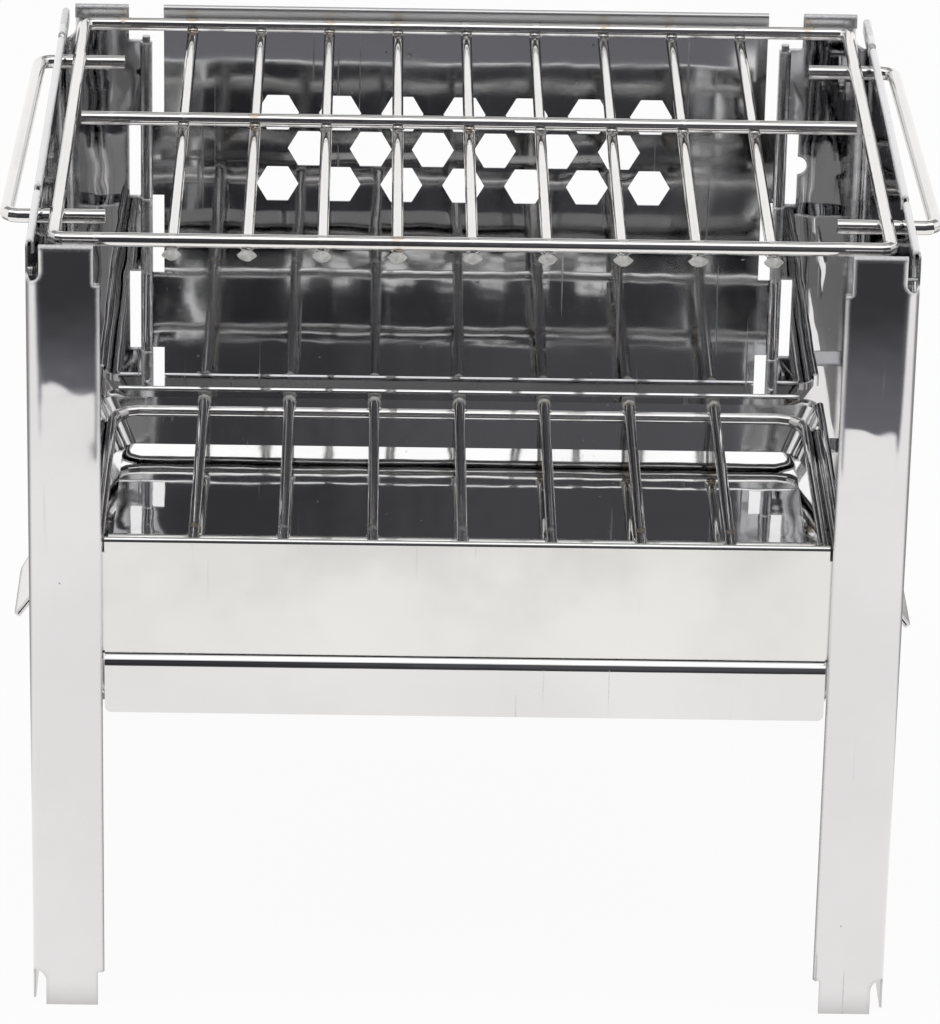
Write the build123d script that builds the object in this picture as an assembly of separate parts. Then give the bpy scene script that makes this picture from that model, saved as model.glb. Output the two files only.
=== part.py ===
"""Portable folding grill in polished stainless sheet and wire.

Two bent side panels hang on rolled-knuckle hinges at a perforated back panel.
A charcoal tray, a charcoal grate, a front panel and a cooking grate drop in.
Millimetres, +Z up, front of the grill towards -Y, origin on the floor under its centre.
"""
from build123d import *
from math import atan2, degrees, hypot, radians, sin, sqrt, tan
import os

os.makedirs("parts", exist_ok=True)

# Body: the tray sets its width, and the rest is measured over the sheet
tray_width = 277.0
tray_side_gap = 11.5
body_depth = 248.0
body_height = 287.0

# Sheet metal
sheet = 0.8
corner_radius = 5.5
hem_gap = 1.2
hem_drop = 5.0
cut_margin = 1.0

# Side panels: flanges, legs and the reliefs at the ends of each vertical bend
flange_width = 25.2
tab_step = 2.3
leg_depth = 25.0
side_bottom = 92.0
side_cut_radius = 10.0
relief_width = 6.6
relief_height = 13.0
side_hem_setback = 6.3
edge_hem_top_gap = 14.0
edge_hem_bottom_gap = 13.0

# Hinges
pin_diameter = 3.0
pin_clearance = 0.05
pin_top = 2.0
pin_bottom = 1.0
knuckle_count = 5
knuckle_length = 31.0
knuckle_end_gap = 0.3
knuckle_wrap = 255.0
hinge_drop = 14.0
hinge_axis_inset = 31.0
leaf_setback = 6.5
hinge_notch_radius = 3.5

# Back panel
back_bottom = 104.0
hex_across_corners = 15.8
hex_pitch = 23.3
hex_row_spacing = 14.2
hex_top_row_drop = 42.0
hex_rows = (7, 6, 7)

# Grate wire; each bend of a wire is drawn in a few chords, which keeps its facets few
wire_diameter = 4.0
cook_wire_diameter = 4.8
weld_gap = 0.05
bend_chords = 3

# Support wires in the open slots of the side panels
support_diameter = 5.0
support_drop = 10.5
support_front_gap = 55.5
support_back_gap = 36.0
support_bend = 4.0
support_inside = 24.5
support_outside_front = 9.5
support_outside_back = 6.5
slot_clearance = 0.3

# Cooking grate
cook_side_gap = 6.0
cook_front_gap = 19.0
cook_back_gap = 5.0
cook_corner = 3.5
cook_rods = 9
cook_rod_edge = 42.4
cook_rod_overhang = 1.5
cook_bar_offset = 8.5
bar_end_gap = 1.5

# Charcoal tray
tray_front_gap = 4.0
tray_back_gap = 6.0
tray_rim_height = 136.0
tray_wall = 4.0
tray_floor_depth = 20.0
tray_slope_run = 8.0
tray_corner = 6.0
apron_side_gap = 0.8
apron_hem_gap = 1.0
apron_reach = 4.2
apron_drop = 21.0
apron_corner = 2.2
apron_bend = 3.4

# Charcoal grate
coal_wall_gap = 2.2
coal_corner = 10.0
coal_rods = 7
coal_rod_edge = 36.5
coal_rod_overhang = 1.0
coal_bar_offset = -7.0

# Front panel between the front legs
front_panel_height = 43.0
front_ear_gap = 1.9
front_ear = 11.0
front_ear_setback = 1.6
front_ear_top_gap = 1.0
front_foot = 5.0
seat_gap = 0.2

# Lanced side flap and the lanced tabs that carry the tray
flap_front_gap = 42.0
flap_length = 43.0
flap_side_gap = 0.5
flap_reach = 10.0
flap_fall = 13.0
flap_top = 133.0
flap_lip = 13.0
flap_lip_gap = 0.6
flap_corner = 6.0
flap_lip_round = 0.7
window_corner = 1.5
tab_width = 14.0
tab_inset = 38.0
tab_overlap = 1.8
tab_corner = 2.0

# Sheet and wire values that follow
hem_radius = sheet + hem_gap / 2
hem_thickness = 2 * hem_radius
wire_radius = wire_diameter / 2
cook_wire_radius = cook_wire_diameter / 2
support_radius = support_diameter / 2
slot_radius = support_radius + slot_clearance

# Places that follow from the body
body_width = tray_width + 2 * tray_side_gap
half_width = body_width / 2
half_depth = body_depth / 2
relief_edge = relief_width / sqrt(2)
pin_radius = pin_diameter / 2
knuckle_inner = pin_radius + pin_clearance
knuckle_outer = knuckle_inner + sheet
hinge_x = half_width - hinge_axis_inset
hinge_y = half_depth - knuckle_outer
hinge_top = body_height - hinge_drop
leaf_edge = hinge_x + leaf_setback
panel_edge = hinge_x - leaf_setback
support_front_y = -half_depth + support_front_gap
support_back_y = half_depth - support_back_gap
support_z = body_height - support_drop

# Cooking grate, on the support wires, with its rods hanging under its frame
cook_width = body_width - 2 * cook_side_gap
cook_depth = body_depth - cook_front_gap - cook_back_gap
cook_centre_y = (cook_front_gap - cook_back_gap) / 2
cook_frame_z = support_z + support_radius + cook_wire_radius + weld_gap
cook_rod_z = cook_frame_z - cook_wire_radius - wire_radius - weld_gap

# Tray, the tabs under its rim and the charcoal grate on its sloping walls
tray_depth = body_depth - tray_front_gap - tray_back_gap
tray_centre_y = (tray_front_gap - tray_back_gap) / 2
tray_floor = tray_rim_height - tray_floor_depth
tray_slope = (tray_floor_depth - tray_wall) / tray_slope_run
apron_width = body_width - 2 * (flange_width + apron_side_gap)
tab_front_y = tray_centre_y - tray_depth / 2 + tab_inset
tab_back_y = tray_centre_y + tray_depth / 2 - tab_inset
tab_top = tray_rim_height - hem_drop - seat_gap
tab_length = tray_side_gap - sheet + tab_overlap
coal_width = tray_width - 2 * (hem_thickness + coal_wall_gap)
coal_depth = tray_depth - 2 * (hem_thickness + coal_wall_gap)
coal_rise = tray_slope * (tray_slope_run - coal_wall_gap - wire_radius) + wire_radius * hypot(1, tray_slope)
coal_frame_z = tray_floor + coal_rise + weld_gap
coal_rod_z = coal_frame_z + wire_diameter + weld_gap


def block(x, y, z):
    """A box between pairs of limits along x, y and z."""
    middle = Pos((x[0] + x[1]) / 2, (y[0] + y[1]) / 2, (z[0] + z[1]) / 2)
    return middle * Box(abs(x[1] - x[0]), abs(y[1] - y[0]), abs(z[1] - z[0]))


def hem(start, end, up, inward):
    """A folded edge from start to end, whose fold tops out at those points."""
    start, end, up, inward = Vector(start), Vector(end), Vector(up), Vector(inward)
    if (end - start).cross(inward).dot(up) < 0:
        start, end = end, start
    plane = Plane(origin=start, x_dir=inward, z_dir=end - start)
    r = hem_radius
    inner = r - sheet
    outline = [
        ThreePointArc((0, -r), (r, 0), (2 * r, -r)),
        Line((2 * r, -r), (2 * r, -hem_drop)),
        Line((2 * r, -hem_drop), (2 * r - sheet, -hem_drop)),
        Line((2 * r - sheet, -hem_drop), (2 * r - sheet, -r)),
        ThreePointArc((2 * r - sheet, -r), (r, -r + inner), (sheet, -r)),
        Line((sheet, -r), (0, -r)),
    ]
    return extrude(plane * make_face(outline), amount=(end - start).length)


def bend(before, corner, after, radius):
    """The points of one bend, on the arc that rounds a corner between two others."""
    to_before = (before - corner).normalized()
    to_after = (after - corner).normalized()
    half = radians(to_before.get_angle(to_after)) / 2
    centre = corner + (to_before + to_after).normalized() * radius / sin(half)
    first = corner + to_before * radius / tan(half) - centre
    last = corner + to_after * radius / tan(half) - centre
    axis = Axis((0, 0, 0), first.cross(last))
    turn = first.get_angle(last) / bend_chords
    return [centre + first.rotate(axis, turn * step) for step in range(bend_chords + 1)]


def round_bar(path, radius):
    """Round wire of one radius along a path."""
    section = Plane(origin=path @ 0, z_dir=path % 0) * Circle(radius)
    return sweep(section, path=path, transition=Transition.RIGHT)


def knuckle(axis_x, leaf_end_x, bottom, top):
    """One rolled knuckle and the tongue of sheet that joins it to its leaf."""
    side = 1 if leaf_end_x > axis_x else -1
    span = side * knuckle_wrap
    outer = CenterArc((0, 0), knuckle_outer, 90, span)
    inner = CenterArc((0, 0), knuckle_inner, 90, span)
    ring = make_face([outer, Line(outer @ 1, inner @ 1), inner, Line(inner @ 0, outer @ 0)])
    plane = Plane(origin=(axis_x, hinge_y, bottom), x_dir=(1, 0, 0), z_dir=(0, 0, 1))
    barrel = extrude(plane * ring, amount=top - bottom)
    tongue = block((axis_x, leaf_end_x), (half_depth - sheet, half_depth), (bottom, top))
    return barrel + tongue


def knuckle_spans():
    """Bottom and top of each knuckle, from the highest down."""
    spans = []
    for index in range(knuckle_count):
        top = hinge_top - index * knuckle_length
        spans.append((top - knuckle_length + knuckle_end_gap, top))
    return spans


def relief(x, y, tip_z, direction):
    """The rounded relief cut through a vertical bend, open at one end of it."""
    centre_z = tip_z - direction * (relief_height - relief_width / 2)
    reach = 4 * corner_radius
    turn = Rot(0, 0, 45 if x * y > 0 else -45)
    slot = block((-reach / 2, reach / 2), (-relief_width / 2, relief_width / 2),
                 (centre_z, tip_z + direction * cut_margin))
    nose = Pos(0, 0, centre_z) * Rot(0, 90, 0) * Cylinder(relief_width / 2, reach)
    return Pos(x, y, 0) * turn * (slot + nose)


def side_channel():
    """The sheet of the left side, bent to a C in plan, with plain edges."""
    front_edge = -half_width + flange_width - hem_radius
    back_edge = -leaf_edge
    outer = FilletPolyline(
        (front_edge, -half_depth), (-half_width, -half_depth),
        (-half_width, half_depth), (back_edge, half_depth), radius=corner_radius)
    inner = FilletPolyline(
        (front_edge, -half_depth + sheet), (-half_width + sheet, -half_depth + sheet),
        (-half_width + sheet, half_depth - sheet), (back_edge, half_depth - sheet),
        radius=corner_radius - sheet)
    ends = [Line(outer @ 0, inner @ 0), Line(outer @ 1, inner @ 1)]
    return extrude(make_face([outer, inner] + ends), amount=body_height - hem_radius)


def flap_size():
    """The middle of the flap along the side and its run down the slope."""
    middle = -half_depth + leg_depth + flap_front_gap + flap_length / 2
    return middle, hypot(flap_reach, flap_fall)


def side_windows():
    """The space between the legs and the windows left by the flap and the tabs."""
    side = Plane(origin=(-half_width, 0, 0), x_dir=(0, 1, 0), z_dir=(1, 0, 0))
    gap = body_depth - 2 * leg_depth
    tall = side_bottom + 2 * side_cut_radius
    middle, slope = flap_size()
    outlines = Pos(0, side_bottom - tall / 2) * RectangleRounded(gap, tall, side_cut_radius)
    outlines += Pos(middle, flap_top - slope / 2) * RectangleRounded(flap_length, slope, window_corner)
    for y in (tab_front_y, tab_back_y):
        outlines += Pos(y, tab_top - sheet - tab_length / 2) * Rectangle(tab_width, tab_length)
    return extrude(side * outlines, amount=sheet + cut_margin, both=True)


def side_slots():
    """The round-bottomed slots for the support wires, open at the top."""
    inside = -half_width + hem_thickness + cut_margin
    slots = []
    for y in (support_front_y, support_back_y):
        slots.append(block((-half_width - cut_margin, inside), (y - slot_radius, y + slot_radius),
                           (support_z, body_height + cut_margin)))
        slots.append(Pos(-half_width, y, support_z) * Rot(0, 90, 0)
                     * Cylinder(slot_radius, 2 * (hem_thickness + cut_margin)))
    return slots


def side_cuts():
    """Everything cut out of the left side: windows, slots, reliefs and edge steps."""
    cuts = [side_windows()] + side_slots()
    for y in (-half_depth, half_depth):
        cuts.append(relief(-half_width, y, 0, -1))
        cuts.append(relief(-half_width, y, body_height, 1))
    step = (-half_width + flange_width - tab_step, -half_width + flange_width + cut_margin)
    deep = (-half_depth - cut_margin, -half_depth + hem_thickness + cut_margin)
    cuts.append(block(step, deep, (-cut_margin, edge_hem_bottom_gap)))
    cuts.append(block(step, deep, (body_height - edge_hem_top_gap, body_height + cut_margin)))
    return cuts


def side_hems():
    """The folded edges of the left side: round the top and down the front flange."""
    outside = -half_width
    flange_end = outside + flange_width
    hems = []
    stops = [-half_depth + side_hem_setback, support_front_y - slot_radius,
             support_front_y + slot_radius, support_back_y - slot_radius,
             support_back_y + slot_radius, half_depth - side_hem_setback]
    for low, high in zip(stops[::2], stops[1::2]):
        hems.append(hem((outside, low, body_height), (outside, high, body_height), (0, 0, 1), (1, 0, 0)))
    hems.append(hem((outside + relief_edge, -half_depth, body_height),
                    (flange_end - tab_step, -half_depth, body_height), (0, 0, 1), (0, 1, 0)))
    hems.append(hem((outside + relief_edge, half_depth, body_height),
                    (-leaf_edge, half_depth, body_height), (0, 0, 1), (0, -1, 0)))
    hems.append(hem((flange_end, -half_depth, edge_hem_bottom_gap),
                    (flange_end, -half_depth, body_height - edge_hem_top_gap), (1, 0, 0), (0, 1, 0)))
    return hems


def side_flap():
    """The slanted flap lanced out of the left side above its window, with a folded lip."""
    middle, slope = flap_size()
    width = flap_length - 2 * flap_side_gap
    fold = 2 * sheet + flap_lip_gap
    plate = Box(slope, width, sheet, align=(Align.MAX, Align.CENTER, Align.MAX))
    lip = Box(flap_lip, width, fold, align=(Align.MIN, Align.CENTER, Align.MAX))
    lip = fillet(lip.edges().filter_by(Axis.Y).group_by(Axis.X)[0], flap_lip_round)
    slot = Box(flap_lip, width, flap_lip_gap, align=(Align.MIN, Align.CENTER, Align.MAX))
    flap = plate + Pos(-slope, 0, 0) * lip - Pos(sheet - slope, 0, -sheet) * slot
    outline = Pos(0, -width / 2) * RectangleRounded(2 * slope, 2 * width, flap_corner)
    flap = flap & extrude(outline, amount=fold, both=True)
    drop_angle = degrees(atan2(flap_fall, flap_reach))
    root = Pos(-half_width + sheet, middle, flap_top + sheet / 2)
    return root * Rot(0, -drop_angle, 0) * flap


def tray_tabs():
    """The two small shelves lanced inwards under the tray's rim."""
    shelves = []
    for y in (tab_front_y, tab_back_y):
        shelf = block((-half_width, -half_width + sheet + tab_length),
                      (y - tab_width / 2, y + tab_width / 2), (tab_top - sheet, tab_top))
        tip = shelf.edges().filter_by(Axis.Z).group_by(Axis.X)[-1]
        shelves.append(fillet(tip, tab_corner))
    return shelves


def side_panel():
    """The left side panel, one sheet with its hems, knuckles, flap and tabs."""
    panel = side_channel()
    for cut in side_cuts():
        panel -= cut
    for piece in side_hems() + tray_tabs() + [side_flap()]:
        panel += piece
    for index, (low, high) in enumerate(knuckle_spans()):
        if index % 2 == 0:
            panel += knuckle(-hinge_x, -leaf_edge - sheet, low, high)
    return panel


def notched(panel):
    """The half-round nick that only the right side has, in its hinge edge."""
    low, high = knuckle_spans()[1]
    nick = Pos(leaf_edge, half_depth, (low + high) / 2) * Rot(90, 0, 0)
    return panel - nick * Cylinder(hinge_notch_radius, 4 * sheet)


def back_panel():
    """The perforated back sheet with its top and bottom hems and its knuckles."""
    low_z, high_z = back_bottom + hem_radius, body_height - hem_radius
    panel = block((-panel_edge, panel_edge), (half_depth - sheet, half_depth), (low_z, high_z))
    panel += hem((-panel_edge, half_depth, body_height), (panel_edge, half_depth, body_height),
                 (0, 0, 1), (0, -1, 0))
    panel += hem((-panel_edge, half_depth, back_bottom), (panel_edge, half_depth, back_bottom),
                 (0, 0, -1), (0, -1, 0))
    face = Plane(origin=(0, half_depth, 0), x_dir=(1, 0, 0), z_dir=(0, -1, 0))
    holes = Sketch()
    for row, count in enumerate(hex_rows):
        z = body_height - hex_top_row_drop - row * hex_row_spacing
        for column in range(count):
            x = (column - (count - 1) / 2) * hex_pitch
            holes += Pos(x, z) * RegularPolygon(hex_across_corners / 2, 6)
    panel -= extrude(face * holes, amount=2 * sheet, both=True)
    for index, (low, high) in enumerate(knuckle_spans()):
        if index % 2 == 1:
            panel += knuckle(-hinge_x, -panel_edge + sheet, low, high)
            panel += knuckle(hinge_x, panel_edge - sheet, low, high)
    return panel


def hinge_pin(axis_x):
    """A headless hinge pin, a little longer than its row of knuckles."""
    bottom = hinge_top - knuckle_count * knuckle_length - pin_bottom
    length = hinge_top + pin_top - bottom
    pin = Cylinder(pin_radius, length, align=(Align.CENTER, Align.CENTER, Align.MIN))
    return Pos(axis_x, hinge_y, bottom) * pin


def support_wire():
    """The left U-shaped wire that carries the cooking grate and makes a handle."""
    inside = -half_width + support_inside
    start = Vector(inside, support_front_y, support_z)
    front = Vector(-half_width - support_outside_front, support_front_y, support_z)
    back = Vector(-half_width - support_outside_back, support_back_y, support_z)
    end = Vector(inside, support_back_y, support_z)
    points = bend(start, front, back, support_bend) + bend(front, back, end, support_bend)
    return round_bar(Polyline(start, *points, end), support_radius)


def grate_frame(width, depth, centre_y, z, corner_bend, radius):
    """A closed wire rectangle with round corners, sized over its wire."""
    x, y = width / 2 - radius, depth / 2 - radius
    corners = [Vector(side_x * x, centre_y + side_y * y, z)
               for side_x, side_y in ((1, -1), (1, 1), (-1, 1), (-1, -1))]
    points = [Vector(0, centre_y - y, z)]
    for index, corner in enumerate(corners):
        points += bend(corners[index - 1], corner, corners[(index + 1) % 4], corner_bend)
    return round_bar(Polyline(*points, close=True), radius)


def grate_rods(name, width, depth, centre_y, z, count, edge, overhang):
    """The rods of one grate, spread evenly between the first and the last."""
    half = depth / 2 - wire_radius + overhang
    pitch = (width - 2 * edge) / (count - 1)
    rods = {}
    for index in range(count):
        x = edge - width / 2 + index * pitch
        path = Line((x, centre_y - half, z), (x, centre_y + half, z))
        rods[name + "_rod_" + str(index + 1)] = round_bar(path, wire_radius)
    return rods


def cross_bar(width, y, z, radius):
    """The bar across the middle of a grate, cut just short of the frame."""
    half = width / 2 - 2 * radius - bar_end_gap
    return round_bar(Line((-half, y, z), (half, y, z)), radius)


def tray_space(offset, top):
    """All that lies inside the tray up to a height, with its faces set in by an offset."""
    half_x = tray_width / 2 - hem_thickness + sheet - offset
    half_y = tray_depth / 2 - hem_thickness + sheet - offset
    corner = tray_corner - offset
    bend_z = tray_rim_height - tray_wall
    bend = Pos(0, tray_centre_y, bend_z) * RectangleRounded(2 * half_x, 2 * half_y, corner)
    foot = RectangleRounded(2 * (half_x - tray_slope_run), 2 * (half_y - tray_slope_run), corner)
    foot = Pos(0, tray_centre_y, tray_floor - sheet + offset) * foot
    return extrude(bend, amount=top - bend_z) + loft([foot, bend])


def tray_rim():
    """The rim's hem, folded outwards along the four sides."""
    z = tray_rim_height
    x, y = tray_width / 2, tray_depth / 2
    inner_x, inner_y = x - hem_thickness, y - hem_thickness
    span_x, span_y = inner_x - tray_corner, inner_y - tray_corner
    c = tray_centre_y
    hems = [
        hem((-inner_x, c - span_y, z), (-inner_x, c + span_y, z), (0, 0, 1), (-1, 0, 0)),
        hem((inner_x, c - span_y, z), (inner_x, c + span_y, z), (0, 0, 1), (1, 0, 0)),
        hem((-span_x, c + inner_y, z), (span_x, c + inner_y, z), (0, 0, 1), (0, 1, 0)),
    ]
    for side in (-1, 1):
        low, high = sorted((side * (apron_width / 2 + apron_hem_gap), side * span_x))
        hems.append(hem((low, c - inner_y, z), (high, c - inner_y, z), (0, 0, 1), (0, -1, 0)))
    return hems


def tray_apron():
    """The lip that turns out over the front rim and hangs down between the legs."""
    wall_y = tray_centre_y - tray_depth / 2 + hem_thickness
    face_y = tray_centre_y - tray_depth / 2 - apron_reach
    z = tray_rim_height
    outer = FilletPolyline((wall_y, z - tray_wall), (wall_y, z), (face_y, z), (face_y, z - apron_drop),
                           radius=apron_bend)
    inner = FilletPolyline((wall_y - sheet, z - tray_wall), (wall_y - sheet, z - sheet),
                           (face_y + sheet, z - sheet), (face_y + sheet, z - apron_drop),
                           radius=apron_bend - sheet)
    section = make_face([outer, inner, Line(outer @ 0, inner @ 0), Line(outer @ 1, inner @ 1)])
    apron = extrude(Plane.YZ * section, amount=apron_width / 2, both=True)
    corners = apron.edges().filter_by(Axis.Y).group_by(Axis.Z)[0]
    return fillet(corners, apron_corner)


def charcoal_tray():
    """The shallow tray with sloping walls, a hemmed rim and a front apron."""
    tray = tray_space(0, tray_rim_height - hem_radius) - tray_space(sheet, tray_rim_height + cut_margin)
    for piece in tray_rim() + [tray_apron()]:
        tray += piece
    return tray


def front_panel():
    """The low front wall: a face between the legs, ears behind them and a foot on the tray."""
    ear_y = -half_depth + hem_thickness + front_ear_gap
    face_y = ear_y - front_ear_setback
    half = apron_width / 2
    low = tray_rim_height + seat_gap
    high = low + front_panel_height
    ear_top = high - hem_drop - front_ear_top_gap
    panel = block((-half, half), (face_y, face_y + sheet), (low + sheet, high - hem_radius))
    panel += hem((-half, face_y, high), (half, face_y, high), (0, 0, 1), (0, 1, 0))
    panel += block((-half, half), (face_y, face_y + front_foot), (low, low + sheet))
    for side in (-1, 1):
        root, tip = side * (half - sheet), side * (half + front_ear)
        panel += block((root, side * half), (face_y, ear_y + sheet), (low, ear_top))
        panel += block((root, tip), (ear_y, ear_y + sheet), (low, ear_top))
    return panel


def build_nodes():
    """Every piece under its name."""
    left = side_panel()
    nodes = {
        "back_panel": back_panel(),
        "left_hinge_pin": hinge_pin(-hinge_x),
        "right_hinge_pin": hinge_pin(hinge_x),
        "left_side_panel": left,
        "right_side_panel": notched(mirror(left, about=Plane.YZ)),
        "left_support_wire": support_wire(),
        "right_support_wire": mirror(support_wire(), about=Plane.YZ),
        "cooking_grate_frame": grate_frame(cook_width, cook_depth, cook_centre_y, cook_frame_z, cook_corner,
                                           cook_wire_radius),
        "cooking_grate_crossbar": cross_bar(cook_width, cook_centre_y + cook_bar_offset, cook_frame_z,
                                            cook_wire_radius),
        "charcoal_tray": charcoal_tray(),
        "charcoal_grate_frame": grate_frame(coal_width, coal_depth, tray_centre_y, coal_frame_z, coal_corner,
                                            wire_radius),
        "charcoal_grate_crossbar": cross_bar(coal_width, tray_centre_y + coal_bar_offset, coal_frame_z,
                                             wire_radius),
        "front_panel": front_panel(),
    }
    nodes.update(grate_rods("cooking_grate", cook_width, cook_depth, cook_centre_y, cook_rod_z,
                            cook_rods, cook_rod_edge, cook_rod_overhang))
    nodes.update(grate_rods("charcoal_grate", coal_width, coal_depth, tray_centre_y, coal_rod_z,
                            coal_rods, coal_rod_edge, coal_rod_overhang))
    return nodes


for name, solid in build_nodes().items():
    export_step(solid, "parts/" + name + ".step")
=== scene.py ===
"""The looks of the folding grill: polished sheet, welded wire, studio floor, lamp and camera.

Every length is in metres, in the frame's own axes: +X right, +Y to the back panel, +Z up.
"""
import math

import bmesh
import bpy
from mathutils import Matrix, Vector, noise


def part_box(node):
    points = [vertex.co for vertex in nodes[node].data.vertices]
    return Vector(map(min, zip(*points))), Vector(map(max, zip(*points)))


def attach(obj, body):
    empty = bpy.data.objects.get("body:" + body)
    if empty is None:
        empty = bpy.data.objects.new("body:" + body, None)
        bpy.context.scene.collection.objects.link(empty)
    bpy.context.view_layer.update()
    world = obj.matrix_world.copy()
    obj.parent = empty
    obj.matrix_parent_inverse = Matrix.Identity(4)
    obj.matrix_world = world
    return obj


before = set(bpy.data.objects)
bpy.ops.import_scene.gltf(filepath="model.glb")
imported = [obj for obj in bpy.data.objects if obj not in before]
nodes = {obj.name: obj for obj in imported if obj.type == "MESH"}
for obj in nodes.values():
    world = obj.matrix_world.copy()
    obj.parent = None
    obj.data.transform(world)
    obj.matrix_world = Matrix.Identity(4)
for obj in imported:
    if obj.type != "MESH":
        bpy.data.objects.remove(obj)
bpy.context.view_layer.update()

# Camera, as fitted to the photograph
CAMERA_PLACE = Vector((-0.0340, -1.9630, 1.0103))
CAMERA_PITCH = 0.4161
CAMERA_YAW = 0.0135
CAMERA_ROLL = 0.0188
CAMERA_FAR_END = 50.0
FOCAL_PIXELS = 5920.9
PRINCIPAL = (441.8, 497.2)
IMAGE_SIZE = (940, 1024)
SENSOR_MM = 36.0

# Floor as the camera sees it: white, with the grill's soft shadow
FLOOR_HALF = 8.0
FLOOR_GLOW_SHARE = 0.94
FLOOR_MATTE = (0.95, 0.95, 0.95, 1.0)
WHITE = (1.0, 1.0, 1.0, 1.0)

# Floor as reflections see it: pale to its front edge, which has a notch in its middle
PALE_FLOOR_FRONT = -0.664
PALE_FLOOR_NOTCH = -0.60
NOTCH_HALF = 0.151
PALE_FLOOR_SLANT = 0.11
PALE_FLOOR_FADE = 0.005
EDGE_NOISE_SCALE = 30.0
EDGE_NOISE = 0.008
SIDE_FADE = 1.2
SIDE_START = 0.20
FLOOR_WHITE = 1.04
FLOOR_TINT = (1.0, 0.98, 0.965, 1.0)

# The same floor beyond its front edge, and the painted shadow that reflections see on it under the grill and
# behind it
FLOOR_DARK = (0.05, 0.17)
FLOOR_DARK_REACH = (-0.80, -0.655)
FOOTPRINT = (0.150, 0.124)
FOOTPRINT_FADE = (-0.03, 0.02)
PAINTED_SHADOW_UNDER_GRILL = 0.25
PAINTED_SHADOW_BEHIND_GRILL = 0.30
BEHIND_MIDDLE = 0.30
BEHIND_REACH = (0.17, 0.32)

# Sky, dimmer in a band behind the grill and in a strip overhead
SKY = 1.05
SKY_DIM = 0.30
DIM_FRONT = (0.25, 0.45)
DIM_BAND = (0.40, 0.48, 0.84, 0.90)
OVERHEAD_HIGH = (0.85, 0.92)
OVERHEAD_MIDDLE = 0.18
OVERHEAD_REACH = (0.12, 0.17)
OVERHEAD_DIM = 0.30

# Dark room behind the camera, with faint streaks
ROOM_TINT = (0.95, 0.95, 1.04, 1.0)
ROOM_DARK = 0.06
ROOM_SIDES = (-0.55, -0.35)
ROOM_TOP = (0.72, 0.85)
STREAK_STRETCH = (6.0, 1.0, 1.2)
STREAK_SCALE = 1.4
STREAK_RANGE = (0.3, 0.7)
STREAK_LEVELS = (0.5, 1.7)

# Lamp over the front of the grill
LAMP_PLACE = (0.0, -0.40, 1.6)
LAMP_TARGET = (0.0, 0.0, 0.15)
LAMP_SIZE = (1.6, 0.7)
LAMP_POWER = 2.4

# Metals
STEEL = (0.74, 0.74, 0.75)
PAN_STEEL = (0.77, 0.77, 0.77)
SATIN_STEEL = (0.82, 0.82, 0.81)
PIN_STEEL = (0.6, 0.6, 0.6)
WIRE_STEEL = (0.81, 0.80, 0.79)
WELD_METAL = (0.90, 0.89, 0.86)
TINT = (0.42, 0.27, 0.10)

# Smears, which dull and darken the metal a little
SMEAR_SCALE = 22.0
SMEAR_RANGE = (0.42, 0.68)
SMEAR_SHARE = 0.3
SMEAR_SHADE = 0.90

# Slow changes of tone over a sheet
TONE_SCALE = 14.0
TONE_RANGE = (0.35, 0.7)
TONE_SHADE = 0.95

# Hair scratches, and the patches that have them
HAIR_STRETCH = (700.0, 700.0, 14.0)
HAIR_TURN = (0.35, 0.25, 0.5)
HAIR_RANGE = (0.70, 0.76)
PATCH_SCALE = 9.0
PATCH_RANGE = (0.45, 0.65)

# Small nicks, and the patches that have them
NICK_SCALE = 120.0
NICK_WARP_SCALE = 300.0
NICK_WARP = 0.004
NICK_RANGE = (0.05, 0.085)
NICK_PATCH_SCALE = 38.0
NICK_PATCH_RANGE = (0.58, 0.66)

# Relief of the waviness and of the brushed grain, and the grain's part in the roughness
WAVE_HEIGHT = 0.004
GRAIN_HEIGHT = 0.00006
GRAIN_ROUGH = 0.25
EDGE_SAMPLES = 4
FACING_BACK = 0.5

# Folded top edges of the back half, which are duller
TOP_HEM_START = 0.2814
TOP_HEM_FADE = 0.0006
BACK_HALF_START = 0.10

# Crease pressed along the tray's apron
CREASE_HEIGHT = 0.1249
CREASE_HALF = 0.0005
CREASE_WANDER = 0.0012
CREASE_WANDER_SCALE = 38.0
CREASE_STRENGTH = 0.08
CREASE_RELIEF = 0.0004
APRON_FACE = -0.1236

# Heat tint round the welds that have it, and the paler core of every weld
TINT_WOBBLE_SCALE = 420.0
TINT_WOBBLE = 0.003
TINT_PICK_SCALE = 21.0
TINT_PICK_RANGE = (0.57, 0.62)
TINT_LEAST = 0.02
TINT_REACH = (0.0010, 0.0030)
TINT_SHARE = 0.75
CORE_REACH = (0.0008, 0.0026)
CORE_SHARE = 0.4
CORE_ROUGH = 0.8

# Grainy metal of the squashed rod ends
WELD_GRAIN_SCALE = 1500.0
WELD_TONE_SCALE = 600.0
WELD_TONE_RANGE = (0.35, 0.65)
WELD_SHADE = 0.78
WELD_ROUGH = (0.25, 0.22)
WELD_BUMP = 0.5
WELD_RELIEF = 0.0005

# Lumps of weld metal: half sizes along x, y and z, and how uneven they are
BEAD_HALVES = (0.0027, 0.0019, 0.0010)
PAD_HALVES = (0.0033, 0.0013, 0.00205)
PAD_SETBACK = 0.0002
BACK_CAP_HALVES = (0.0025, 0.0019, 0.0026)
FRONT_CAP_HALVES = (0.0023, 0.0010, 0.0023)
BEAD_UNEVEN = 0.22
END_UNEVEN = 0.12
LUMP_NOISE_SCALE = 1.9
LUMP_NOISE_SHIFT = 900.0
LUMP_SUBDIVISIONS = 4
LENS_TIP_HEIGHT = 0.35


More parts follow.
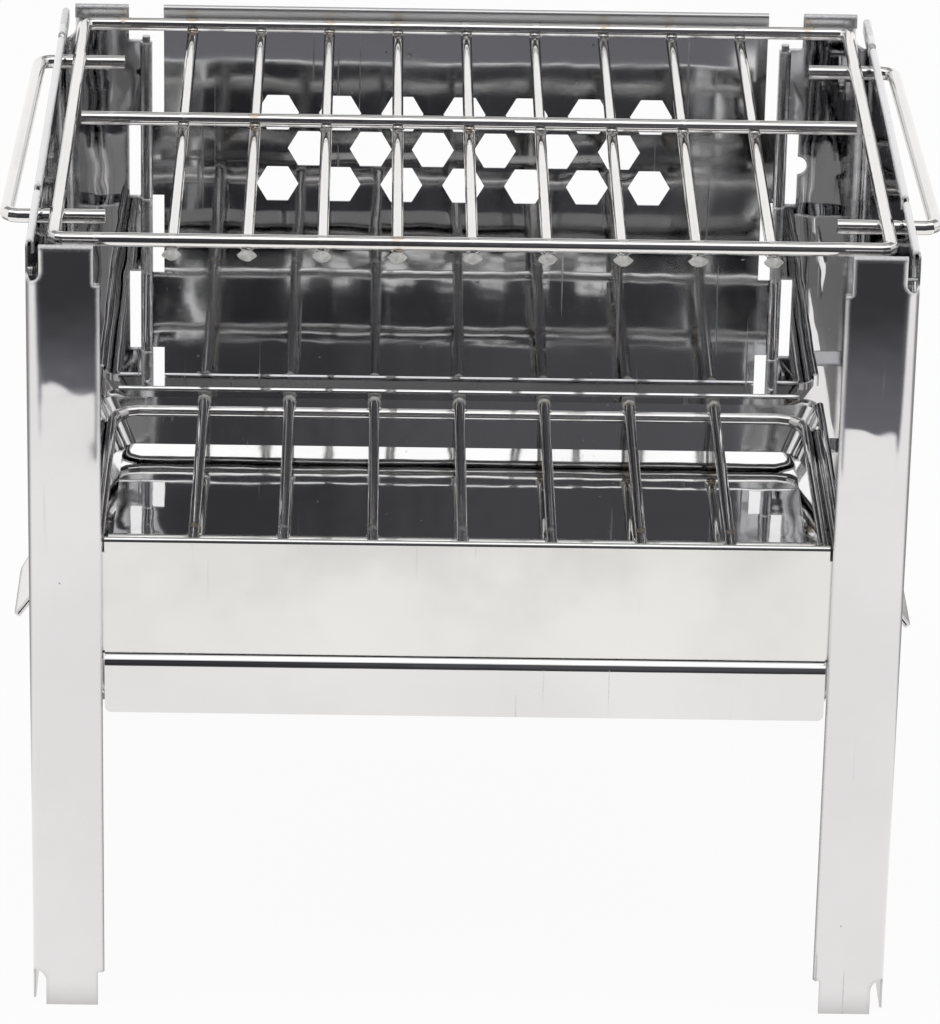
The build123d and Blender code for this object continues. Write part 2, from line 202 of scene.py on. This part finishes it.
class Graph:
    """A short way to write a node tree."""

    def __init__(self, tree):
        self.tree = tree
        tree.nodes.clear()

    def node(self, kind, inputs=None, **settings):
        made = self.tree.nodes.new(kind)
        for key, value in settings.items():
            setattr(made, key, value)
        for key, value in (inputs or {}).items():
            self.feed(made.inputs[key], value)
        return made

    def feed(self, socket, value):
        if isinstance(value, bpy.types.NodeSocket):
            self.tree.links.new(value, socket)
        elif isinstance(value, bpy.types.Node):
            self.tree.links.new(value.outputs[0], socket)
        else:
            socket.default_value = value

    def math(self, operation, first, second=0.0, third=0.0, clamp=False):
        made = self.tree.nodes.new("ShaderNodeMath")
        made.operation = operation
        made.use_clamp = clamp
        for socket, value in zip(made.inputs, (first, second, third)):
            self.feed(socket, value)
        return made.outputs[0]

    def remap(self, value, from_low, from_high, to_low, to_high):
        """The value, taken smoothly from one range to another."""
        made = self.node("ShaderNodeMapRange", {
            "Value": value, "From Min": from_low, "From Max": from_high,
            "To Min": to_low, "To Max": to_high})
        made.interpolation_type = "SMOOTHSTEP"
        return made.outputs["Result"]

    def blend(self, factor, first, second):
        """The first number where the factor is 0, and the second where it is 1."""
        second_part = self.math("MULTIPLY", factor, second)
        first_part = self.math("MULTIPLY", self.math("SUBTRACT", 1.0, factor), first)
        return self.math("ADD", second_part, first_part)

    def noise(self, place, scale, detail=2.0, rough=0.5):
        made = self.node("ShaderNodeTexNoise", {
            "Vector": place, "Scale": scale, "Detail": detail, "Roughness": rough})
        return made.outputs["Fac"]

    def stretched(self, place, scale, turn=(0.0, 0.0, 0.0)):
        return self.node("ShaderNodeMapping", {
            "Vector": place, "Scale": scale, "Rotation": turn}).outputs["Vector"]

    def warped(self, place, scale, amount):
        """The place, pushed about by a slow noise."""
        drift = self.node("ShaderNodeTexNoise", {"Vector": place, "Scale": scale}).outputs["Color"]
        moved = self.node("ShaderNodeVectorMath", {0: drift, 1: (amount,) * 3, 2: place})
        moved.operation = "MULTIPLY_ADD"
        return moved.outputs["Vector"]

    def cells(self, place, scale, feature):
        return self.node("ShaderNodeTexVoronoi", {
            "Vector": place, "Scale": scale}, feature=feature).outputs["Distance"]

    def axes(self, vector):
        """The vector's three parts, under the names X, Y and Z."""
        return self.node("ShaderNodeSeparateXYZ", {"Vector": vector}).outputs

    def mix(self, factor, first, second):
        made = self.tree.nodes.new("ShaderNodeMix")
        made.data_type = "RGBA"
        self.feed(made.inputs["Factor"], factor)
        colours = [s for s in made.inputs if s.type == "RGBA"]
        self.feed(colours[0], first)
        self.feed(colours[1], second)
        return next(s for s in made.outputs if s.type == "RGBA")

    def mix_shaders(self, factor, first, second):
        return self.node("ShaderNodeMixShader", {0: factor, 1: first, 2: second})

    def bump(self, height, strength, distance, normal=None):
        made = self.node("ShaderNodeBump", {
            "Height": height, "Strength": strength, "Distance": distance})
        if normal:
            self.feed(made.inputs["Normal"], normal)
        return made


def new_material(name):
    """An empty material, and the graph that fills it."""
    material = bpy.data.materials.new(name)
    material.use_nodes = True
    return material, Graph(material.node_tree)


def shade(colour, factor):
    return tuple(c * factor for c in colour) + (1.0,)


def hairs(g, place):
    """Hair scratches in patches, as a mask from 0 to 1."""
    hair = g.noise(g.stretched(place, HAIR_STRETCH, HAIR_TURN), 1.0, 1.0)
    there = g.remap(g.noise(place, PATCH_SCALE, 2.0), *PATCH_RANGE, 0.0, 1.0)
    return g.math("MULTIPLY", g.remap(hair, *HAIR_RANGE, 0.0, 1.0), there)


def nicks(g, place):
    """Small nicks in patches, as a mask from 0 to 1."""
    cells = g.cells(g.warped(place, NICK_WARP_SCALE, NICK_WARP), NICK_SCALE, "F1")
    there = g.remap(g.noise(place, NICK_PATCH_SCALE, 1.0), *NICK_PATCH_RANGE, 0.0, 1.0)
    return g.math("MULTIPLY", g.remap(cells, *NICK_RANGE, 1.0, 0.0), there)


def dull_top(g, place, amount):
    """The given roughness on the top hems of the back half, and 0 elsewhere."""
    axes = g.axes(place)
    high = g.remap(axes["Z"], TOP_HEM_START, TOP_HEM_START + TOP_HEM_FADE, 0.0, amount)
    at_back = g.math("GREATER_THAN", axes["Y"], BACK_HALF_START)
    return g.math("MULTIPLY", high, at_back)


def steel(name, colour=STEEL, rough=0.07, smudge=0.07, wave=0.35, wave_size=34.0,
          wave_stretch=(1.0, 1.0, 1.0), grain=0.12, grain_scale=(60.0, 60.0, 2600.0), scratch=0.12,
          edge=0.0, welds=None, crease=False, back_rough=None, satin_top=None):
    """Polished or brushed stainless with waviness, grain, scratches and smudges."""
    material, g = new_material(name)
    place = g.node("ShaderNodeTexCoord").outputs["Object"]
    smear = g.remap(g.noise(place, SMEAR_SCALE, 5.0, 0.62), *SMEAR_RANGE, 0.0, 1.0)
    marks = g.math("MAXIMUM", hairs(g, place), nicks(g, place))
    brushed = g.noise(g.stretched(place, grain_scale), 1.0, 2.0)

    if back_rough is not None:
        normal = g.node("ShaderNodeNewGeometry").outputs["True Normal"]
        away = g.math("GREATER_THAN", g.axes(normal)["Y"], FACING_BACK)
        rough = g.remap(away, 0.0, 1.0, rough, back_rough)
    roughness = g.math("MULTIPLY_ADD", smear, smudge, rough)
    if satin_top:
        roughness = g.math("ADD", dull_top(g, place, satin_top), roughness)
    roughness = g.math("MULTIPLY_ADD", marks, scratch, roughness)
    roughness = g.math("MULTIPLY_ADD", brushed, grain * GRAIN_ROUGH, roughness, clamp=True)

    tone = g.remap(g.noise(place, TONE_SCALE, 3.0), *TONE_RANGE, 0.0, 1.0)
    base = g.mix(tone, shade(colour, 1.0), shade(colour, TONE_SHADE))
    base = g.mix(g.math("MULTIPLY", smear, SMEAR_SHARE), base, shade(colour, SMEAR_SHADE))
    if welds:
        base, roughness = add_weld_tint(g, place, base, roughness, *welds)

    bump = g.node("ShaderNodeBevel", {"Radius": edge}, samples=EDGE_SAMPLES) if edge else None
    waves = g.noise(g.stretched(place, wave_stretch), wave_size, 2.0, 0.45)
    bump = g.bump(waves, wave, WAVE_HEIGHT, bump)
    bump = g.bump(brushed, grain, GRAIN_HEIGHT, bump)
    if crease:
        bump = g.bump(apron_crease(g, place), CREASE_STRENGTH, CREASE_RELIEF, bump)
    surface = g.node("ShaderNodeBsdfPrincipled", {
        "Base Color": base, "Metallic": 1.0, "Roughness": roughness, "Normal": bump})
    g.node("ShaderNodeOutputMaterial", {"Surface": surface})
    return material


def apron_crease(g, place):
    """A slightly wavy ridge along the tray's front apron."""
    axes = g.axes(place)
    along = g.noise(g.stretched(place, (1.0, 0.0, 0.0)), CREASE_WANDER_SCALE, 2.0)
    middle = g.math("MULTIPLY_ADD", along, CREASE_WANDER, CREASE_HEIGHT - CREASE_WANDER / 2)
    away = g.math("ABSOLUTE", g.math("SUBTRACT", axes["Z"], middle))
    ridge = g.remap(away, 0.0, CREASE_HALF, 1.0, 0.0)
    on_face = g.math("LESS_THAN", axes["Y"], APRON_FACE)
    return g.math("MULTIPLY", ridge, on_face)


def add_weld_tint(g, place, base, roughness, pitch, lines):
    """Straw and brown heat tint round some of the welds, which lie on a grid of rods and cross lines."""
    axes = g.axes(place)
    across = g.math("PINGPONG", axes["X"], pitch / 2)
    along = None
    for line in lines:
        distance = g.math("ABSOLUTE", g.math("SUBTRACT", axes["Y"], line))
        along = distance if along is None else g.math("MINIMUM", along, distance)
    squares = g.math("ADD", g.math("MULTIPLY", across, across), g.math("MULTIPLY", along, along))
    wobble = g.noise(place, TINT_WOBBLE_SCALE, 3.0)
    wobble = g.math("MULTIPLY_ADD", wobble, TINT_WOBBLE, -TINT_WOBBLE / 2)
    far = g.math("ADD", g.math("SQRT", squares), wobble)
    picked = g.remap(g.noise(place, TINT_PICK_SCALE, 0.0), *TINT_PICK_RANGE, TINT_LEAST, 1.0)
    halo = g.math("MULTIPLY", g.remap(far, *TINT_REACH, 1.0, 0.0), picked)
    core = g.remap(far, *CORE_REACH, CORE_SHARE, 0.0)
    base = g.mix(g.math("MULTIPLY", halo, TINT_SHARE), base, shade(TINT, 1.0))
    base = g.mix(core, base, shade(WELD_METAL, 1.0))
    roughness = g.math("ADD", roughness, g.math("MULTIPLY", core, CORE_ROUGH), clamp=True)
    return base, roughness


def weld_metal(name):
    """Whitish grainy metal of squashed rod ends."""
    material, g = new_material(name)
    place = g.node("ShaderNodeTexCoord").outputs["Object"]
    grains = g.noise(place, WELD_GRAIN_SCALE, 3.0, 0.6)
    tone = g.remap(g.noise(place, WELD_TONE_SCALE, 2.0), *WELD_TONE_RANGE, 0.0, 1.0)
    base = g.mix(tone, shade(WELD_METAL, 1.0), shade(WELD_METAL, WELD_SHADE))
    roughness = g.math("MULTIPLY_ADD", grains, *WELD_ROUGH)
    bump = g.bump(grains, WELD_BUMP, WELD_RELIEF)
    surface = g.node("ShaderNodeBsdfPrincipled", {
        "Base Color": base, "Metallic": 0.0, "Roughness": roughness, "Normal": bump})
    g.node("ShaderNodeOutputMaterial", {"Surface": surface})
    return material


def pale_floor(g, place, axes, x_away):
    """1 on the pale floor that reflections see and 0 in front of it, with an uneven edge."""
    uneven = g.noise(place, EDGE_NOISE_SCALE, 3.0)
    ragged = g.math("MULTIPLY_ADD", uneven, EDGE_NOISE, axes["Y"])
    slant = g.math("MULTIPLY_ADD", axes["X"], -PALE_FLOOR_SLANT, ragged)
    wide = g.math("MAXIMUM", g.math("SUBTRACT", x_away, SIDE_START), 0.0)
    end = g.math("MULTIPLY_ADD", wide, SIDE_FADE, PALE_FLOOR_FRONT + PALE_FLOOR_FADE)
    beside = g.remap(slant, PALE_FLOOR_FRONT, end, 0.0, 1.0)
    middle = g.remap(ragged, PALE_FLOOR_NOTCH, PALE_FLOOR_NOTCH + PALE_FLOOR_FADE, 0.0, 1.0)
    aside = g.math("GREATER_THAN", x_away, NOTCH_HALF)
    return g.math("MAXIMUM", middle, g.math("MULTIPLY", aside, beside))


def lit_floor():
    """White with the grill's shadow to the camera; to reflections, a painted shadow under and behind the
    grill, and dark before it.
    """
    material, g = new_material("studio_floor")
    path = g.node("ShaderNodeLightPath")
    place = g.node("ShaderNodeNewGeometry").outputs["Position"]
    axes = g.axes(place)
    x_away = g.math("ABSOLUTE", axes["X"])
    y_away = g.math("ABSOLUTE", axes["Y"])
    pale = pale_floor(g, place, axes, x_away)
    # Painted shadow: the floor that reflections see is dimmed under the grill's footprint and in a band
    # behind it
    outside = g.math("MAXIMUM", g.math("SUBTRACT", x_away, FOOTPRINT[0]),
                     g.math("SUBTRACT", y_away, FOOTPRINT[1]))
    past = g.math("ABSOLUTE", g.math("SUBTRACT", axes["Y"], BEHIND_MIDDLE))
    behind = g.remap(past, *BEHIND_REACH, PAINTED_SHADOW_BEHIND_GRILL * FLOOR_WHITE, FLOOR_WHITE)
    white = g.remap(outside, *FOOTPRINT_FADE, PAINTED_SHADOW_UNDER_GRILL * FLOOR_WHITE, behind)
    dark = g.remap(axes["Y"], *FLOOR_DARK_REACH, *FLOOR_DARK)
    mirrored = g.node("ShaderNodeEmission", {
        "Color": g.mix(pale, ROOM_TINT, FLOOR_TINT), "Strength": g.blend(pale, dark, white)})
    matte = g.node("ShaderNodeBsdfDiffuse", {"Color": FLOOR_MATTE})
    glow = g.node("ShaderNodeEmission", {"Color": WHITE, "Strength": 1.0})
    seen = g.mix_shaders(FLOOR_GLOW_SHARE, matte, glow)
    to_camera = g.mix_shaders(path.outputs["Is Camera Ray"], matte, seen)
    shown = g.mix_shaders(path.outputs["Is Glossy Ray"], to_camera, mirrored)
    g.node("ShaderNodeOutputMaterial", {"Surface": shown})
    return material


def plane(name, half_x, half_y, material):
    mesh = bpy.data.meshes.new(name)
    corners = [(-half_x, -half_y, 0), (half_x, -half_y, 0), (half_x, half_y, 0), (-half_x, half_y, 0)]
    mesh.from_pydata(corners, [], [(0, 1, 2, 3)])
    mesh.materials.append(material)
    made = bpy.data.objects.new(name, mesh)
    bpy.context.scene.collection.objects.link(made)
    return made


def surroundings(world):
    """White to the camera. Reflections see a sky with its dimmer parts and the dark room."""
    g = Graph(world.node_tree)
    path = g.node("ShaderNodeLightPath")
    way = g.node("ShaderNodeTexCoord").outputs["Generated"]
    axes = g.axes(way)
    y, z = axes["Y"], axes["Z"]
    room = g.math("MULTIPLY", g.remap(y, *ROOM_SIDES, 1.0, 0.0), g.remap(z, *ROOM_TOP, 1.0, 0.0))
    streaks = g.noise(g.stretched(way, STREAK_STRETCH), STREAK_SCALE, 2.0)
    faint, strong = (ROOM_DARK * level for level in STREAK_LEVELS)
    inside = g.remap(streaks, *STREAK_RANGE, faint, strong)
    band = g.math("MULTIPLY", g.remap(z, *DIM_BAND[:2], 0.0, 1.0), g.remap(z, *DIM_BAND[2:], 1.0, 0.0))
    dim = g.math("MULTIPLY", band, g.remap(y, *DIM_FRONT, 0.0, 1.0))
    sky = g.math("MULTIPLY_ADD", dim, SKY_DIM - SKY, SKY)
    beyond = g.math("ABSOLUTE", g.math("SUBTRACT", y, OVERHEAD_MIDDLE))
    strip = g.math("MULTIPLY", g.remap(z, *OVERHEAD_HIGH, 0.0, 1.0),
                   g.remap(beyond, *OVERHEAD_REACH, 1.0, 0.0))
    sky = g.math("MULTIPLY_ADD", strip, OVERHEAD_DIM - SKY, sky)
    around = g.node("ShaderNodeBackground", {
        "Color": g.mix(room, WHITE, ROOM_TINT), "Strength": g.blend(room, sky, inside)})
    white = g.node("ShaderNodeBackground", {"Color": WHITE, "Strength": 1.0})
    mixed = g.mix_shaders(path.outputs["Is Camera Ray"], around, white)
    g.node("ShaderNodeOutputWorld", {"Surface": mixed})


def lamp(name, place, target, size, power):
    """A rectangular lamp that points at its target."""
    data = bpy.data.lights.new(name, "AREA")
    data.shape = "RECTANGLE"
    data.size, data.size_y = size
    data.energy = power
    made = bpy.data.objects.new(name, data)
    made.location = place
    made.rotation_euler = (Vector(target) - Vector(place)).to_track_quat("-Z", "Y").to_euler()
    bpy.context.scene.collection.objects.link(made)


def studio():
    """Floor, world and lamp."""
    floor = plane("floor", FLOOR_HALF, FLOOR_HALF, lit_floor())
    world = bpy.data.worlds.new("studio")
    bpy.context.scene.world = world
    world.use_nodes = True
    surroundings(world)
    lamp("top_box", LAMP_PLACE, LAMP_TARGET, LAMP_SIZE, LAMP_POWER)


def camera():
    """The photograph's viewpoint."""
    pitch_cos, pitch_sin = math.cos(CAMERA_PITCH), math.sin(CAMERA_PITCH)
    yaw_cos, yaw_sin = math.cos(CAMERA_YAW), math.sin(CAMERA_YAW)
    roll_cos, roll_sin = math.cos(CAMERA_ROLL), math.sin(CAMERA_ROLL)
    forward = Vector((yaw_sin * pitch_cos, yaw_cos * pitch_cos, -pitch_sin))
    level_right = Vector((yaw_cos, -yaw_sin, 0.0))
    level_up = level_right.cross(forward)
    right = level_right * roll_cos + level_up * roll_sin
    up = level_up * roll_cos - level_right * roll_sin
    data = bpy.data.cameras.new("camera")
    made = bpy.data.objects.new("camera", data)
    bpy.context.scene.collection.objects.link(made)
    turn = Matrix((right, up, -forward)).transposed().to_4x4()
    made.matrix_world = Matrix.Translation(CAMERA_PLACE) @ turn
    long_side = max(IMAGE_SIZE)
    data.sensor_width = SENSOR_MM
    data.lens = FOCAL_PIXELS / long_side * data.sensor_width
    data.shift_x = (IMAGE_SIZE[0] / 2 - PRINCIPAL[0]) / long_side
    data.shift_y = (PRINCIPAL[1] - IMAGE_SIZE[1] / 2) / long_side
    data.clip_end = CAMERA_FAR_END
    bpy.context.scene.camera = made


def dress(node, material):
    """Gives a CAD node its material."""
    mesh = nodes[node].data
    mesh.materials.clear()
    mesh.materials.append(material)


def lump(made, seat, halves, uneven, shape=None):
    """One uneven rounded lump of metal, added to a bmesh."""
    start = len(made.verts)
    bmesh.ops.create_icosphere(made, subdivisions=LUMP_SUBDIVISIONS, radius=1.0)
    made.verts.ensure_lookup_table()
    for vertex in made.verts[start:]:
        ball = vertex.co.copy()
        swell = 1.0 + uneven * noise.noise(ball * LUMP_NOISE_SCALE + seat * LUMP_NOISE_SHIFT)
        if shape:
            ball = shape(ball)
        vertex.co = Vector((ball.x * halves[0], ball.y * halves[1], ball.z * halves[2])) * swell + seat


def lens(ball):
    """A ball squashed to a lens: pointed at both ends along x."""
    thin = max(0.0, 1.0 - ball.x * ball.x) ** 0.5
    height = LENS_TIP_HEIGHT + (1.0 - LENS_TIP_HEIGHT) * thin
    return Vector((ball.x, ball.y * thin, ball.z * height))


def metal_piece(name, body, made, material):
    """A smooth piece of weld metal that rides on a body."""
    mesh = bpy.data.meshes.new(name)
    made.to_mesh(mesh)
    made.free()
    for polygon in mesh.polygons:
        polygon.use_smooth = True
    mesh.materials.append(material)
    piece = bpy.data.objects.new(name, mesh)
    bpy.context.scene.collection.objects.link(piece)
    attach(piece, body)


def grate(prefix, material_name):
    """Material and weld beads of one wire grate, and where its rods' middles and ends lie."""
    rods = sorted(n for n in nodes if n.startswith(prefix + "_rod_"))
    low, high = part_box(prefix + "_frame")
    bar_low, bar_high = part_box(prefix + "_crossbar")
    radius = (high.z - low.z) / 2
    lines = (low.y + radius, (bar_low.y + bar_high.y) / 2, high.y - radius)
    middles = sorted((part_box(r)[0].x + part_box(r)[1].x) / 2 for r in rods)
    pitch = middles[1] - middles[0]
    finish = steel(material_name, WIRE_STEEL, rough=0.06, smudge=0.08, wave=0.03, wave_size=120.0,
                   grain=0.05, scratch=0.2, welds=(pitch, lines))
    for node in rods + [prefix + "_frame", prefix + "_crossbar"]:
        dress(node, finish)
    rod_low, rod_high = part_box(rods[0])
    rod_z = (rod_low.z + rod_high.z) / 2
    joint_z = (rod_z + (low.z + high.z) / 2) / 2
    beads = bmesh.new()
    for x in middles:
        for line in lines:
            lump(beads, Vector((x, line, joint_z)), BEAD_HALVES, BEAD_UNEVEN)
    metal_piece(prefix + "_welds", prefix, beads, finish)
    return middles, rod_low.y, rod_high.y, rod_z


def grates():
    """Both grates, with the squashed rod ends that the photograph shows."""
    grainy = weld_metal("weld_metal")
    middles, front, _, rod_z = grate("cooking_grate", "cooking_wire")
    pads = bmesh.new()
    for x in middles:
        lump(pads, Vector((x, front + PAD_SETBACK, rod_z)), PAD_HALVES, END_UNEVEN, lens)
    metal_piece("cooking_grate_rod_pads", "cooking_grate", pads, grainy)
    middles, front, back, rod_z = grate("charcoal_grate", "charcoal_wire")
    caps = bmesh.new()
    for x in middles:
        lump(caps, Vector((x, back, rod_z)), BACK_CAP_HALVES, END_UNEVEN)
        lump(caps, Vector((x, front, rod_z)), FRONT_CAP_HALVES, END_UNEVEN)
    metal_piece("charcoal_grate_rod_caps", "charcoal_grate", caps, grainy)


def finishes():
    """Materials of every sheet, pin and wire."""
    wall = steel("polished_sheet", STEEL, rough=0.025, smudge=0.03, wave=0.045,
                 wave_stretch=(1.0, 1.0, 0.35), grain=0.0, scratch=0.4, satin_top=0.32)
    legs = steel("side_sheet", STEEL, rough=0.015, smudge=0.03, wave=0.03, grain=0.004,
                 grain_scale=(900.0, 900.0, 30.0), scratch=0.6, edge=0.002, satin_top=0.25)
    pan = steel("pan_sheet", PAN_STEEL, rough=0.03, smudge=0.03, wave=0.04, grain=0.0,
                scratch=0.3, crease=True)
    satin = steel("satin_sheet", SATIN_STEEL, rough=0.16, smudge=0.04, wave=0.02, grain=0.05,
                  grain_scale=(50.0, 50.0, 2600.0), back_rough=0.03)
    pin = steel("pin_steel", PIN_STEEL, rough=0.2, smudge=0.1, wave=0.02)
    support = steel("support_wire", WIRE_STEEL, rough=0.06, smudge=0.08, wave=0.04, wave_size=120.0)
    dress("back_panel", wall)
    for side in ("left", "right"):
        dress(side + "_side_panel", legs)
        dress(side + "_hinge_pin", pin)
        dress(side + "_support_wire", support)
    dress("charcoal_tray", pan)
    dress("front_panel", satin)
    grates()


finishes()
studio()
camera()
bpy.context.scene.view_settings.view_transform = "Standard"
